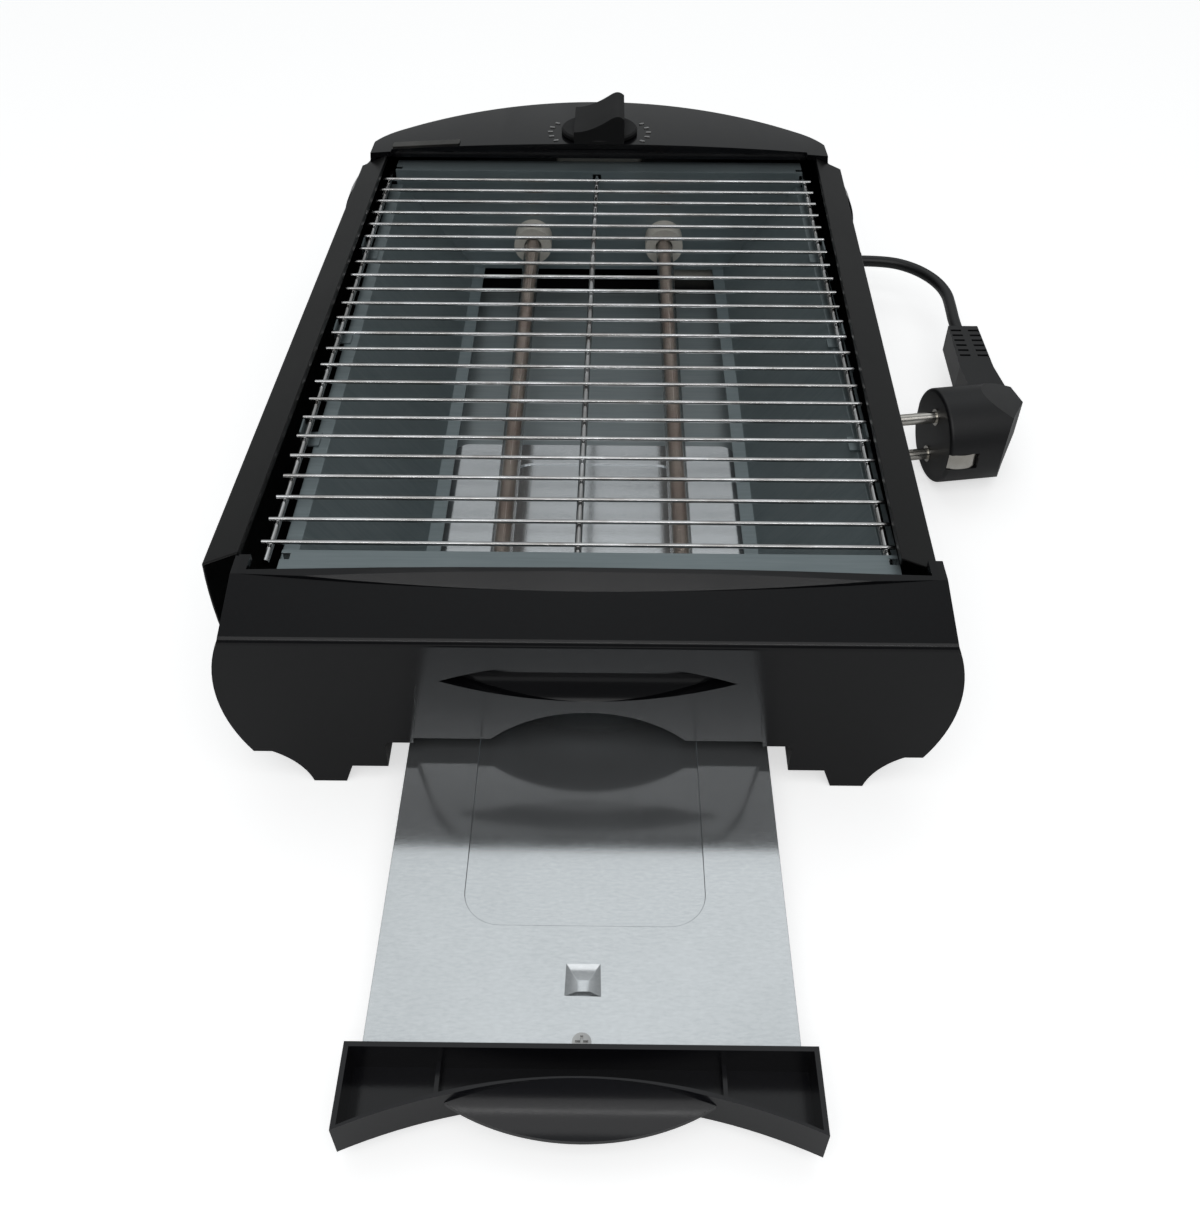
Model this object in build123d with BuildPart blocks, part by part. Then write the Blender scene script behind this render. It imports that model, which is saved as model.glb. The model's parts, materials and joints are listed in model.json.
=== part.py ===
from build123d import *
from math import cos, pi, radians, sin, sqrt, tan
import os

# Flat toaster: a wire rack over two quartz heating tubes in a folded steel trough, between two
# black plastic end caps and two painted side panels, with a pull-out crumb tray underneath.
# Millimetres. +X right, +Y towards the back, +Z up. Drawn from the middle of the housing's footprint
# on the table, and moved back so that the origin is below the middle of the toaster with its tray
# pulled out to the front, which is how it rests.

# Driving sizes of the housing
front_y = -187.5
back_y = 194.0
rim_y_front = -158.0
rim_y_rear = 128.0
cap_half_width_front = 116.5
cap_half_width_rear = 127.0
cap_wall = 2.5
front_edge_z = 67.5
lip_end_z = 76.0
lip_rise = 2.2
lip_depth = 8.7
crescent_depth = 4.6
lip_wall = 1.8
back_wall_y = 131.0
panel_z = 81.7
panel_rise = 3.3
panel_half_width = 100.0
panel_tilt = 4.0
shoulder_half_width = 111.0
shoulder_z = 67.5
bulge_z = 43.0
hip_half_width = 110.0
hip_z = 15.5
foot_inner_x = 81.5
foot_outer_x = 92.5
sill_z = 8.2
foot_slant = 3.0
calf_step = 6.0
calf_mid_x = 96.1
calf_mid_z = 8.5
neck_slant = 2.0
edge_round = 2.5

# Tray and its mouth
tray_travel = 124.0
grip_overhang = 0.6
tray_half_width = 59.5
tray_length = 271.0
tray_z = 14.0
sheet_t = 0.8
tray_corner_r = 6.0
tray_flange_h = 5.0
grip_half_width = 63.2
grip_depth = 23.5
grip_top_z = 20.0
grip_bottom_z = 6.2
grip_wall = 1.4
grip_sag = 13.3
scoop_half_width = 35.4
scoop_lip_z = 12.6
mouth_half_width = 66.5
mouth_top_z = 20.6
mouth_round = 2.5
arch_half_width = 31.8
arch_top_z = 34.1
arch_mid_x = 17.5
arch_mid_z = 30.5
running_gap = 0.3

# Trough of reflectors
steel_t = 0.6
reflector_top_x = 95.3
reflector_top_z = 64.0
reflector_flange = 5.4
reflector_low_x = 63.5
reflector_low_z = 20.0
reflector_lip = 5.5
end_flange_z = 71.0
end_wall_rear_y = 124.5
end_wall_front_y = -150.0
front_flange = 14.4
rear_flange = 11.2

# Rack
rack_z = 70.0
rack_wires = 24
rack_pitch = 11.39
rack_front_wire_y = -145.3
cross_wire_length = 204.0
cross_wire_d = 1.5
long_wire_d = 2.4
long_wire_inset = 2.4
rack_shift_front = -3.8
rack_shift_rear = -0.9

# Side panels, knocked a little out of square in use
panel_t = 0.8
panel_inner_x = 103.1
panel_hem = 3.0
panel_hem_z = 77.0
ridge_x = 115.6
ridge_z = 71.6
panel_bulge_x = 116.0
panel_foot_x = 112.5
panel_foot_z = 16.0
panel_foot_flange = 13.0
panel_shift_front = -6.1
panel_shift_rear = 1.1

# Heating tubes
tube_x = 32.5
tube_z = 37.0
tube_d = 8.0
tube_bore = 6.6
coil_d = 5.8
coil_core = 4.2
ceramic_d = 18.4
ceramic_reach = 10.0
ceramic_neck_d = 12.0
ceramic_seat = 6.0
fit_gap = 0.3

# Base plate
base_top_z = sill_z
base_half_width = 88.0
base_rear_y = 124.0
base_front_y = rim_y_front
pressing_depth = 0.6
pressing_half_width = 33.5
base_tab_x = 72.0
base_tab_reach = 10.0
base_screw_d = 3.0
base_screw_head_d = 6.0
front_screw_y = rim_y_front - base_tab_reach / 2
rear_screw_y = rim_y_rear + base_tab_reach / 2
screw_points = [(x, y) for x in (-base_tab_x, base_tab_x) for y in (front_screw_y, rear_screw_y)]

# Knob and timer
knob_y = 147.5
knob_d = 37.0
knob_disc_h = 2.2
knob_grip_width = 24.0
knob_clearance = 0.4
shaft_d = 6.0
shaft_fit = 0.05

# Mains cord, strain relief and plug
cord_d = 5.6
gland_neck_d = 9.0
gland_y = 134.0
gland_z = 20.0
gland_tip_x = 135.0
pin_d = 4.8
pin_spacing = 19.0
pin_length = 19.0
clip_height = 7.0
clip_run = 13.0
clip_seat = 1.6
clip_bow = 1.3

os.makedirs("parts", exist_ok=True)

frame_shift_y = (tray_travel + grip_overhang - front_y - back_y) / 2


def save(piece, name):
    """Move a finished piece into the shared frame, label it and write it under its own name."""
    placed = piece.moved(Location((0, frame_shift_y, 0)))
    placed.label = name
    export_step(placed, f"parts/{name}.step")


# Outlines that several pieces share


def cap_outline(half_width, top_z, mouth):
    """Half outline of a cap seen from the front, from the middle of its underside to its top."""
    if mouth:
        # The arch over the tray's scoop and the mouth for the tray front
        arch = ThreePointArc(
            (0, arch_top_z),
            (arch_mid_x, arch_mid_z),
            (arch_half_width, mouth_top_z),
        )
        under = FilletPolyline(
            arch @ 1, (mouth_half_width, mouth_top_z), (mouth_half_width, sill_z), radius=mouth_round
        )
    else:
        under = Line((0, sill_z), (mouth_half_width, sill_z))
    foot = Polyline(under @ 1, (foot_inner_x - foot_slant, sill_z), (foot_inner_x, 0), (foot_outer_x, 0))
    calf = ThreePointArc(foot @ 1, (calf_mid_x, calf_mid_z), (hip_half_width - calf_step, hip_z))
    hip = Line(calf @ 1, (hip_half_width, hip_z))
    side = ThreePointArc(hip @ 1, (half_width, bulge_z), (shoulder_half_width, shoulder_z))
    neck = Line(side @ 1, (shoulder_half_width - neck_slant, top_z))
    Line(neck @ 1, (0, top_z))


def cap_face(plane, half_width, top_z, mouth, inset):
    """A cap's whole outline on a plane, drawn in by an inset."""
    with BuildSketch(plane) as face:
        with BuildLine():
            cap_outline(half_width, top_z, mouth)
            mirror(about=Plane.YZ)
        make_face()
        if inset > 0:
            offset(amount=-inset)
    return face.sketch


# Front cap
spare = 4.0
slope_rise = lip_end_z - front_edge_z
lip_y = rim_y_front - lip_depth
slope_run = lip_y - front_y
front_depth = rim_y_front - front_y
cap_block_top = lip_end_z + lip_rise + spare


def under_slope(drop):
    """Section along the length below the front cap's sloping top, lowered by a drop."""
    Polyline(
        (front_y - 1, -1),
        (front_y - 1, front_edge_z - drop),
        (front_y, front_edge_z - drop),
        (lip_y, lip_end_z - drop),
        (rim_y_front + 1, lip_end_z - drop),
        (rim_y_front + 1, -1),
        close=True,
    )


with BuildPart(mode=Mode.PRIVATE) as front_core:
    inner_face = cap_face(
        Plane.XZ.offset(-rim_y_front - 1), cap_half_width_front, cap_block_top, True, cap_wall
    )
    extrude(inner_face, amount=front_depth + 1 - cap_wall)
    with BuildSketch(Plane.YZ):
        with BuildLine():
            under_slope(cap_wall)
        make_face()
    extrude(amount=cap_half_width_front * 2, both=True, mode=Mode.INTERSECT)

lip_half_width = 107.8
lip_top_z = lip_end_z + lip_rise
crescent_low_z = lip_end_z - crescent_depth * slope_rise / slope_run

with BuildPart(mode=Mode.PRIVATE) as lip_crescent:
    # The arched lip, deepest in the middle, and the steeper crescent in front of it
    with BuildSketch(Plane.XY.offset(front_edge_z)):
        with BuildLine():
            bow = ThreePointArc(
                (-lip_half_width, lip_y), (0, lip_y - crescent_depth), (lip_half_width, lip_y)
            )
            Polyline(bow @ 1, (lip_half_width, rim_y_front), (-lip_half_width, rim_y_front), bow @ 0)
        make_face()
    extrude(amount=lip_top_z - front_edge_z + 1)
    with BuildSketch(Plane.XZ.offset(-rim_y_front)):
        with BuildLine():
            crown = ThreePointArc(
                (-lip_half_width, lip_end_z), (0, lip_top_z), (lip_half_width, lip_end_z)
            )
            Polyline(crown @ 1, (lip_half_width, 0), (-lip_half_width, 0), crown @ 0)
        make_face()
    extrude(amount=front_depth, mode=Mode.INTERSECT)
    with BuildSketch(Plane.YZ):
        with BuildLine():
            Polyline(
                (front_y, 0),
                (front_y, front_edge_z),
                (lip_y - crescent_depth, crescent_low_z),
                (lip_y, lip_top_z),
                (rim_y_front, lip_top_z),
                (rim_y_front, 0),
                close=True,
            )
        make_face()
    extrude(amount=cap_half_width_front, both=True, mode=Mode.INTERSECT)
    # Hollow under the lip, where the trough's front flange tucks in
    with BuildSketch():
        with Locations((0, rim_y_front)):
            Rectangle(2 * cap_half_width_front, 2 * (lip_depth - lip_wall))
    extrude(amount=lip_end_z - cap_wall, mode=Mode.SUBTRACT)

# Finger pocket in the front face, with a lens-shaped scoop
pocket_top_z = 63.5
pocket_waist_z = 47.0
pocket_half_widths = (47.5, 53.8, 57.0)
pocket_depth = 2.0
pocket_scoop_half_width = 46.5
pocket_scoop_z = (39.5, 48.5, 57.5)
pocket_scoop_depth = 5.0
pocket_scoop_bow = 3.6
pocket_ceiling_drop = 2.0
pocket_face_y = front_y + pocket_depth
scoop_low_z, scoop_end_z, scoop_high_z = pocket_scoop_z

with BuildPart(mode=Mode.PRIVATE) as pocket_scoop:
    # Deepest just under its upper edge, and running out to nothing at its lower edge
    with BuildSketch(Plane.XZ.offset(-pocket_face_y)):
        with BuildLine():
            upper = ThreePointArc(
                (-pocket_scoop_half_width, scoop_end_z),
                (0, scoop_high_z),
                (pocket_scoop_half_width, scoop_end_z),
            )
            ThreePointArc(upper @ 1, (0, scoop_low_z), upper @ 0)
        make_face()
    extrude(amount=-pocket_scoop_depth)
    with BuildSketch(Plane.YZ.offset(-pocket_scoop_half_width)):
        with BuildLine():
            ceiling = Polyline(
                (pocket_face_y, scoop_low_z),
                (pocket_face_y, scoop_high_z),
                (pocket_face_y + pocket_scoop_depth, scoop_high_z - pocket_ceiling_drop),
            )
            scoop_bow = (pocket_face_y + pocket_scoop_bow, (scoop_low_z + scoop_end_z) / 2)
            ThreePointArc(ceiling @ 1, scoop_bow, ceiling @ 0)
        make_face()
    extrude(amount=2 * pocket_scoop_half_width, mode=Mode.INTERSECT)

with BuildPart() as front_cap:
    outer_face = cap_face(Plane.XZ.offset(-rim_y_front), cap_half_width_front, cap_block_top, True, 0)
    extrude(outer_face, amount=front_depth)
    with BuildSketch(Plane.YZ):
        with BuildLine():
            under_slope(0)
        make_face()
    extrude(amount=cap_half_width_front * 2, both=True, mode=Mode.INTERSECT)
    # Rounded edge between the front face and the sloping top
    brow = front_cap.edges().filter_by(Axis.X).group_by(Axis.Y)[0].sort_by(Axis.Z)[-1]
    fillet(brow, radius=edge_round)
    add(front_core.part, mode=Mode.SUBTRACT)
    # Thicker wall behind the finger pocket
    backing_low_z = arch_top_z + cap_wall
    with BuildSketch(Plane.XZ.offset(-front_y - cap_wall)):
        with Locations((0, (pocket_top_z + backing_low_z) / 2)):
            Rectangle(2 * pocket_half_widths[1], pocket_top_z - backing_low_z)
    extrude(amount=-(pocket_depth + pocket_scoop_depth))
    top_x, waist_x, low_x = pocket_half_widths
    with BuildSketch(Plane.XZ.offset(-front_y)):
        with BuildLine():
            Polyline(
                (0, mouth_top_z - 1),
                (low_x, mouth_top_z - 1),
                (waist_x, pocket_waist_z),
                (top_x, pocket_top_z),
                (0, pocket_top_z),
            )
            mirror(about=Plane.YZ)
        make_face()
    extrude(amount=-pocket_depth, mode=Mode.SUBTRACT)
    add(pocket_scoop.part, mode=Mode.SUBTRACT)
    add(lip_crescent.part)
    # Above the flange the lip is a thin wall, open towards the trough
    with BuildSketch(Plane.XY.offset(end_flange_z + fit_gap)):
        with Locations((0, rim_y_front)):
            Rectangle(2 * (lip_half_width - cap_wall), 2 * (lip_depth - lip_wall))
    extrude(amount=cap_block_top, mode=Mode.SUBTRACT)
    # Screw holes in the floor, for the base plate's tabs
    with BuildSketch(Plane.XY):
        with Locations((-base_tab_x, front_screw_y), (base_tab_x, front_screw_y)):
            Circle(base_screw_d / 2 + fit_gap)
    extrude(amount=sill_z + cap_wall, mode=Mode.SUBTRACT)
save(front_cap.part, "front_cap")


# Rear cap
rear_depth = back_y - rim_y_rear
cap_block_rear = panel_z + spare
panel_slope = tan(radians(panel_tilt))
rear_edge_z = 72.0
rear_flare = 32.0
back_wall_low_z = 74.6
ear_inner_x = 112.5
ear_low_z = 27.0
crown_wall_half_width = 70.0
tongue_half_width = 62.0
tongue_reach = 8.0
upper_plan = [(98.0, 160.2), (107.2, 151.2), (114.0, rim_y_rear)]
lower_plan = [(105.0, 172.0), (121.0, 161.5), (cap_half_width_rear, 146.0)]


def panel_height(y):
    """Height of the top panel's middle line at a distance y along the housing."""
    return panel_z - (y - back_wall_y) * panel_slope


def back_plan(plane, plan, inset):
    """Plan of the rear cap on a level plane, drawn in by an inset: a flat arc and rounder corners."""
    start_y = rim_y_rear - 4 * cap_wall
    (arc_x, arc_y), (corner_x, corner_y), (side_x, side_y) = plan
    with BuildSketch(plane) as face:
        with BuildLine():
            back_arc = ThreePointArc((-arc_x, arc_y), (0, back_y), (arc_x, arc_y))
            ThreePointArc(back_arc @ 1, (corner_x, corner_y), (side_x, side_y))
            Polyline((side_x, side_y), (side_x, start_y), (-side_x, start_y), (-side_x, side_y))
            ThreePointArc((-side_x, side_y), (-corner_x, corner_y), back_arc @ 0)
        make_face()
        if inset > 0:
            offset(amount=-inset)
    return face.sketch


def back_block(inset):
    """The rear cap's block without its ends cut: the lower plan, flaring down from the upper one."""
    with BuildPart(mode=Mode.PRIVATE) as block:
        brow_plan = back_plan(Plane.XY.offset(rear_edge_z), upper_plan, inset)
        extrude(brow_plan, amount=-rear_edge_z, taper=-rear_flare)
        extrude(brow_plan, amount=cap_block_rear - rear_edge_z)
        extrude(back_plan(Plane.XY, lower_plan, inset), amount=cap_block_rear, mode=Mode.INTERSECT)
    return block.part


def above_panel(drop):
    """Space above the crowned and tilted top panel, lowered by a drop, as a face to extrude."""
    tilt = radians(panel_tilt)
    start_y = rim_y_rear - 10
    start = Plane(
        origin=(0, start_y, panel_height(start_y) - drop),
        x_dir=(-1, 0, 0),
        z_dir=(0, cos(tilt), -sin(tilt)),
    )
    with BuildSketch(start) as face:
        with BuildLine():
            crown_x = cap_half_width_rear + 10
            crown_drop = panel_rise * (crown_x / panel_half_width) ** 2
            crown = ThreePointArc((-crown_x, -crown_drop), (0, 0), (crown_x, -crown_drop))
            Polyline(crown @ 1, (crown_x, cap_block_rear), (-crown_x, cap_block_rear), crown @ 0)
        make_face()
    return face.sketch


with BuildPart(mode=Mode.PRIVATE) as rear_core:
    add(back_block(cap_wall))
    core_face = cap_face(Plane.XZ.offset(-back_y), cap_half_width_rear, cap_block_rear, False, cap_wall)
    extrude(core_face, amount=rear_depth + 5, mode=Mode.INTERSECT)
    extrude(above_panel(cap_wall), amount=rear_depth + 30, mode=Mode.SUBTRACT)

with BuildPart() as rear_cap:
    add(back_block(0))
    shell_face = cap_face(Plane.XZ.offset(-back_y), cap_half_width_rear, cap_block_rear, False, 0)
    extrude(shell_face, amount=rear_depth, mode=Mode.INTERSECT)
    extrude(above_panel(0), amount=rear_depth + 30, mode=Mode.SUBTRACT)
    back_brow = rear_cap.faces().sort_by(Axis.Z)[-1].edges().sort_by(Axis.Y)[-1]
    fillet(back_brow, radius=edge_round)
    add(rear_core.part, mode=Mode.SUBTRACT)
    # The panel stands back from the rim between the side panels, and ends in a low wall
    step_depth = back_wall_y - rim_y_rear
    with BuildSketch(Plane.XY.offset(end_flange_z + fit_gap)):
        with Locations((0, rim_y_rear + step_depth / 2)):
            Rectangle(2 * panel_half_width, step_depth)
    extrude(amount=cap_block_rear, mode=Mode.SUBTRACT)
    with BuildSketch(Plane.XY.offset(back_wall_low_z)):
        with Locations((0, back_wall_y + cap_wall / 2)):
            Rectangle(2 * panel_half_width, cap_wall)
    extrude(amount=panel_z - panel_rise - back_wall_low_z - cap_wall / 2)
    with BuildSketch(Plane.XY.offset(panel_z - panel_rise - cap_wall)):
        with Locations((0, back_wall_y + cap_wall / 2)):
            Rectangle(2 * crown_wall_half_width, cap_wall)
    extrude(amount=panel_rise / 2 + cap_wall / 2)
    # Ears close the bulging sides outside the side panels' ends
    with BuildSketch(Plane.XZ.offset(-rim_y_rear)):
        add(cap_face(Plane.XZ.offset(-rim_y_rear), cap_half_width_rear, cap_block_rear, False, 0))
        Rectangle(2 * ear_inner_x, 4 * cap_block_rear, mode=Mode.SUBTRACT)
        Rectangle(4 * cap_half_width_rear, 2 * ear_low_z, mode=Mode.SUBTRACT)
    extrude(amount=-cap_wall)
    # A tongue of the floor lies on the base plate's rear edge
    with BuildSketch(Plane.XY.offset(sill_z)):
        with Locations((0, rim_y_rear - tongue_reach / 2)):
            Rectangle(2 * tongue_half_width, tongue_reach)
    extrude(amount=cap_wall)
    # Hole for the knob's shaft
    with BuildSketch(Plane.XY.offset(panel_height(knob_y) - 3 * cap_wall)):
        with Locations((0, knob_y)):
            Circle(shaft_d / 2 + knob_clearance)
    extrude(amount=6 * cap_wall, mode=Mode.SUBTRACT)
    # Hole for the strain relief
    with BuildSketch(Plane.YZ.offset(hip_half_width - 3 * cap_wall)):
        with Locations((gland_y, gland_z)):
            Circle(gland_neck_d / 2 + fit_gap)
    extrude(amount=cap_half_width_rear - hip_half_width + 3 * cap_wall, mode=Mode.SUBTRACT)
    with BuildSketch(Plane.XY):
        with Locations((-base_tab_x, rear_screw_y), (base_tab_x, rear_screw_y)):
            Circle(base_screw_d / 2 + fit_gap)
    extrude(amount=sill_z + cap_wall, mode=Mode.SUBTRACT)
save(rear_cap.part, "rear_cap")


# Side panels: painted sheet with a hem, a ridge, a bowed side and a foot flange


def panel_section(plane, hand):
    """Section of a side panel on a plane; hand is 1 for the right and -1 for the left."""
    with BuildSketch(plane) as face:
        with BuildLine():
            top = Polyline(
                (hand * panel_inner_x, panel_hem_z - panel_hem),
                (hand * panel_inner_x, panel_hem_z),
                (hand * ridge_x, ridge_z),
            )
            side = ThreePointArc(
                top @ 1,
                (hand * panel_bulge_x, (ridge_z + panel_foot_z) / 2),
                (hand * panel_foot_x, panel_foot_z),
            )
            Line(side @ 1, (hand * (panel_foot_x - panel_foot_flange), panel_foot_z))
            offset(amount=panel_t, side=Side.LEFT if hand < 0 else Side.RIGHT)
        make_face()
    return face.sketch


panel_run = rim_y_rear - rim_y_front
panel_drift = panel_shift_front - panel_shift_rear
panel_path = Vector(panel_drift, -panel_run, 0)

for hand, panel_name in ((-1, "left_side_panel"), (1, "right_side_panel")):
    with BuildPart() as side_panel:
        rear_plane = Plane(origin=(panel_shift_rear, rim_y_rear, 0), x_dir=(1, 0, 0), z_dir=(0, -1, 0))
        extrude(panel_section(rear_plane, hand), amount=panel_path.length, dir=panel_path.normalized())
    save(side_panel.part, panel_name)


# Base plate: a flat floor with a raised pressing, turned up to the side panels' foot flanges
base_run = base_rear_y - base_front_y
base_mid_y = (base_rear_y + base_front_y) / 2
base_low_z = base_top_z - sheet_t
pressing_inset = 11.0
pressing_run = 238.0
pressing_mid_y = base_rear_y - pressing_inset - pressing_run / 2
base_flange_x = 103.0

with BuildPart() as base_plate:
    with BuildSketch(Plane.XZ.offset(-base_rear_y)):
        with BuildLine():
            Polyline(
                (0, base_low_z),
                (base_half_width + sheet_t, base_low_z),
                (base_half_width + sheet_t, panel_foot_z - sheet_t),
                (base_flange_x, panel_foot_z - sheet_t),
                (base_flange_x, panel_foot_z),
                (base_half_width, panel_foot_z),
                (base_half_width, base_top_z),
                (0, base_top_z),
            )
            mirror(about=Plane.YZ)
        make_face()
    extrude(amount=base_run)
    # Tabs that reach under the end caps' floors
    with BuildSketch(Plane.XY.offset(base_low_z)):
        for tab_x in (-base_tab_x, base_tab_x):
            with Locations((tab_x, base_mid_y)):
                Rectangle(4 * base_screw_d, base_run + base_tab_reach + rear_screw_y - base_rear_y)
    extrude(amount=sheet_t)
    with BuildSketch(Plane.XY.offset(base_top_z)):
        with Locations((0, pressing_mid_y)):
            RectangleRounded(2 * pressing_half_width, pressing_run, tray_corner_r)
    extrude(amount=pressing_depth)
    with BuildSketch(Plane.XY.offset(base_low_z)):
        with Locations((0, pressing_mid_y)):
            RectangleRounded(
                2 * (pressing_half_width - sheet_t), pressing_run - 2 * sheet_t, tray_corner_r - sheet_t
            )
    extrude(amount=pressing_depth, mode=Mode.SUBTRACT)
    with BuildSketch(Plane.XY):
        with Locations(*screw_points):
            Circle(base_screw_d / 2 + fit_gap)
    extrude(amount=base_top_z, mode=Mode.SUBTRACT)
save(base_plate.part, "base_plate")

# Screws from below through the tabs into the caps
with BuildPart() as base_screws:
    with BuildSketch(Plane.XY.offset(base_low_z)):
        with Locations(*screw_points):
            Circle(base_screw_head_d / 2)
    extrude(amount=-base_screw_d / 2)
    with BuildSketch(Plane.XY.offset(base_low_z)):
        with Locations(*screw_points):
            Circle(base_screw_d / 2)
    extrude(amount=3 * base_screw_d)
save(base_screws.part, "base_screws")

# Angles on the base plate that guide the tray's edges
guide_inner_x = tray_half_width + 0.5
guide_front_y = rim_y_front + 8
guide_run = 250.0
guide_rear_y = guide_front_y + guide_run
guide_flange = 7.0
guide_height = 5.0

with BuildPart() as tray_guides:
    with BuildSketch(Plane.XZ.offset(-guide_rear_y)):
        with BuildLine():
            Polyline(
                (guide_inner_x, base_top_z),
                (guide_inner_x + guide_flange, base_top_z),
                (guide_inner_x + guide_flange, base_top_z + sheet_t),
                (guide_inner_x + sheet_t, base_top_z + sheet_t),
                (guide_inner_x + sheet_t, base_top_z + guide_height),
                (guide_inner_x, base_top_z + guide_height),
                close=True,
            )
        make_face()
    extrude(amount=guide_rear_y - guide_front_y)
    mirror(about=Plane.YZ)
save(tray_guides.part, "tray_guides")

# Trough: two sloping sides with flanges, and two end walls with flanges that tuck under the caps
trough_run = end_wall_rear_y - end_wall_front_y

for hand, reflector_name in ((-1, "reflector_left"), (1, "reflector_right")):
    with BuildPart() as reflector:
        with BuildSketch(Plane.XZ.offset(-end_wall_rear_y)):
            with BuildLine():
                Polyline(
                    (hand * (reflector_low_x - reflector_lip), reflector_low_z),
                    (hand * reflector_low_x, reflector_low_z),
                    (hand * reflector_top_x, reflector_top_z),
                    (hand * (reflector_top_x + reflector_flange), reflector_top_z),
                )
                offset(amount=steel_t, side=Side.LEFT if hand < 0 else Side.RIGHT)
            make_face()
        extrude(amount=trough_run)
    save(reflector.part, reflector_name)

wall_top_x = 98.0
wall_low_x = reflector_low_x - reflector_lip
rack_half_length = cross_wire_length / 2
long_wire_z = rack_z - cross_wire_d / 2 - long_wire_d / 2
long_wire_x = rack_half_length - long_wire_inset
wire_slot = long_wire_d + 1.6
flange_notch = 3.0


def rack_shift(y):
    """How far the rack stands to the right of the middle at a distance y along the housing."""
    run = end_wall_rear_y - end_wall_front_y
    return rack_shift_front + (rack_shift_rear - rack_shift_front) * (y - end_wall_front_y) / run


for wall_y, way, flange, wall_name in (
    (end_wall_rear_y, 1, rear_flange, "reflector_rear_wall"),
    (end_wall_front_y, -1, front_flange, "reflector_front_wall"),
):
    with BuildPart() as end_wall:
        with BuildSketch(Plane.XZ.offset(-wall_y)):
            with BuildLine():
                Polyline(
                    (0, reflector_low_z - steel_t),
                    (wall_low_x, reflector_low_z - steel_t),
                    (reflector_low_x + steel_t, reflector_low_z - steel_t),
                    (reflector_top_x + steel_t, reflector_top_z - steel_t),
                    (wall_top_x, reflector_top_z - steel_t),
                    (wall_top_x, end_flange_z),
                    (0, end_flange_z),
                )
                mirror(about=Plane.YZ)
            make_face()
        extrude(amount=-way * steel_t)
        with BuildSketch(Plane.XY.offset(end_flange_z - steel_t)):
            with Locations((0, wall_y + way * flange / 2)):
                Rectangle(2 * wall_top_x, flange)
            with Locations(
                (-wall_top_x, wall_y + way * flange_notch), (wall_top_x, wall_y + way * flange_notch)
            ):
                Rectangle(2 * flange_notch, flange_notch, mode=Mode.SUBTRACT)
        extrude(amount=steel_t)
        # Slots for the ends of the rack's long wires, and holes for the ceramic holders
        slot_x = rack_shift(wall_y)
        with BuildSketch(Plane.XZ.offset(-wall_y + way)):
            with Locations(
                (slot_x - long_wire_x, long_wire_z),
                (slot_x, long_wire_z),
                (slot_x + long_wire_x, long_wire_z),
            ):
                Rectangle(wire_slot, long_wire_d + 2 * fit_gap)
            with Locations((-tube_x, tube_z), (tube_x, tube_z)):
                Circle(ceramic_neck_d / 2 + fit_gap)
        extrude(amount=-way * 2 - way, mode=Mode.SUBTRACT)
    save(end_wall.part, wall_name)

# Rack: thin wires across, lying on three thicker wires along, whose ends sit in the end walls' slots
wire_rows = [rack_front_wire_y + i * rack_pitch for i in range(rack_wires)]

with BuildPart() as rack_cross_wires:
    for wire_y in wire_rows:
        with BuildSketch(Plane.YZ.offset(rack_shift(wire_y) - rack_half_length)):
            with Locations((wire_y, rack_z)):
                Circle(cross_wire_d / 2)
        extrude(amount=cross_wire_length)
save(rack_cross_wires.part, "rack_cross_wires")

# Clips: tabs bent up from the side flanges around the rack's outer long wires
clip_y = (-82.5, -14.5, 54.0)
clip_width = 8.0
clip_foot = 6.0
clip_rise = 0.5
long_wire_front_y = end_wall_front_y - 3
long_wire_rear_y = end_wall_rear_y + 3
long_wire_run = Vector(
    rack_shift(long_wire_rear_y) - rack_shift(long_wire_front_y), long_wire_rear_y - long_wire_front_y, 0
)

with BuildPart() as rack_long_wires:
    for offset_x in (-long_wire_x, 0, long_wire_x):
        wire_start = Plane(
            origin=(rack_shift(long_wire_front_y) + offset_x, long_wire_front_y, long_wire_z),
            x_dir=(0, 0, 1),
            z_dir=long_wire_run.normalized(),
        )
        with BuildSketch(wire_start):
            Circle(long_wire_d / 2)
        extrude(amount=long_wire_run.length)
save(rack_long_wires.part, "rack_long_wires")

with BuildPart() as rack_clips:
    for hand in (-1, 1):
        for y in clip_y:
            wire_x = rack_shift(y) + hand * long_wire_x
            post_x = wire_x + hand * (long_wire_d / 2 + fit_gap + steel_t)
            with BuildSketch(Plane.XZ.offset(-y - clip_width / 2)):
                with BuildLine():
                    Polyline(
                        (post_x - hand * clip_foot, reflector_top_z),
                        (post_x, reflector_top_z),
                        (post_x, rack_z + clip_rise),
                    )
                    offset(amount=steel_t, side=Side.LEFT if hand > 0 else Side.RIGHT)
                make_face()
            extrude(amount=clip_width)
save(rack_clips.part, "rack_clips")

# Heating tubes: quartz tubes with a wound core, in ceramic holders through the end walls
ceramic_flange = 3.0
ceramic_wire_d = 2.6
tube_front_y = end_wall_front_y + ceramic_reach - ceramic_seat + fit_gap
tube_rear_y = end_wall_rear_y - ceramic_reach + ceramic_seat - fit_gap
pin_head = 2.0
pin_wire_d = 2.0
pin_rear_y = end_wall_rear_y + ceramic_flange + 4
pin_front_y = end_wall_front_y - ceramic_flange - 3

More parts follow.
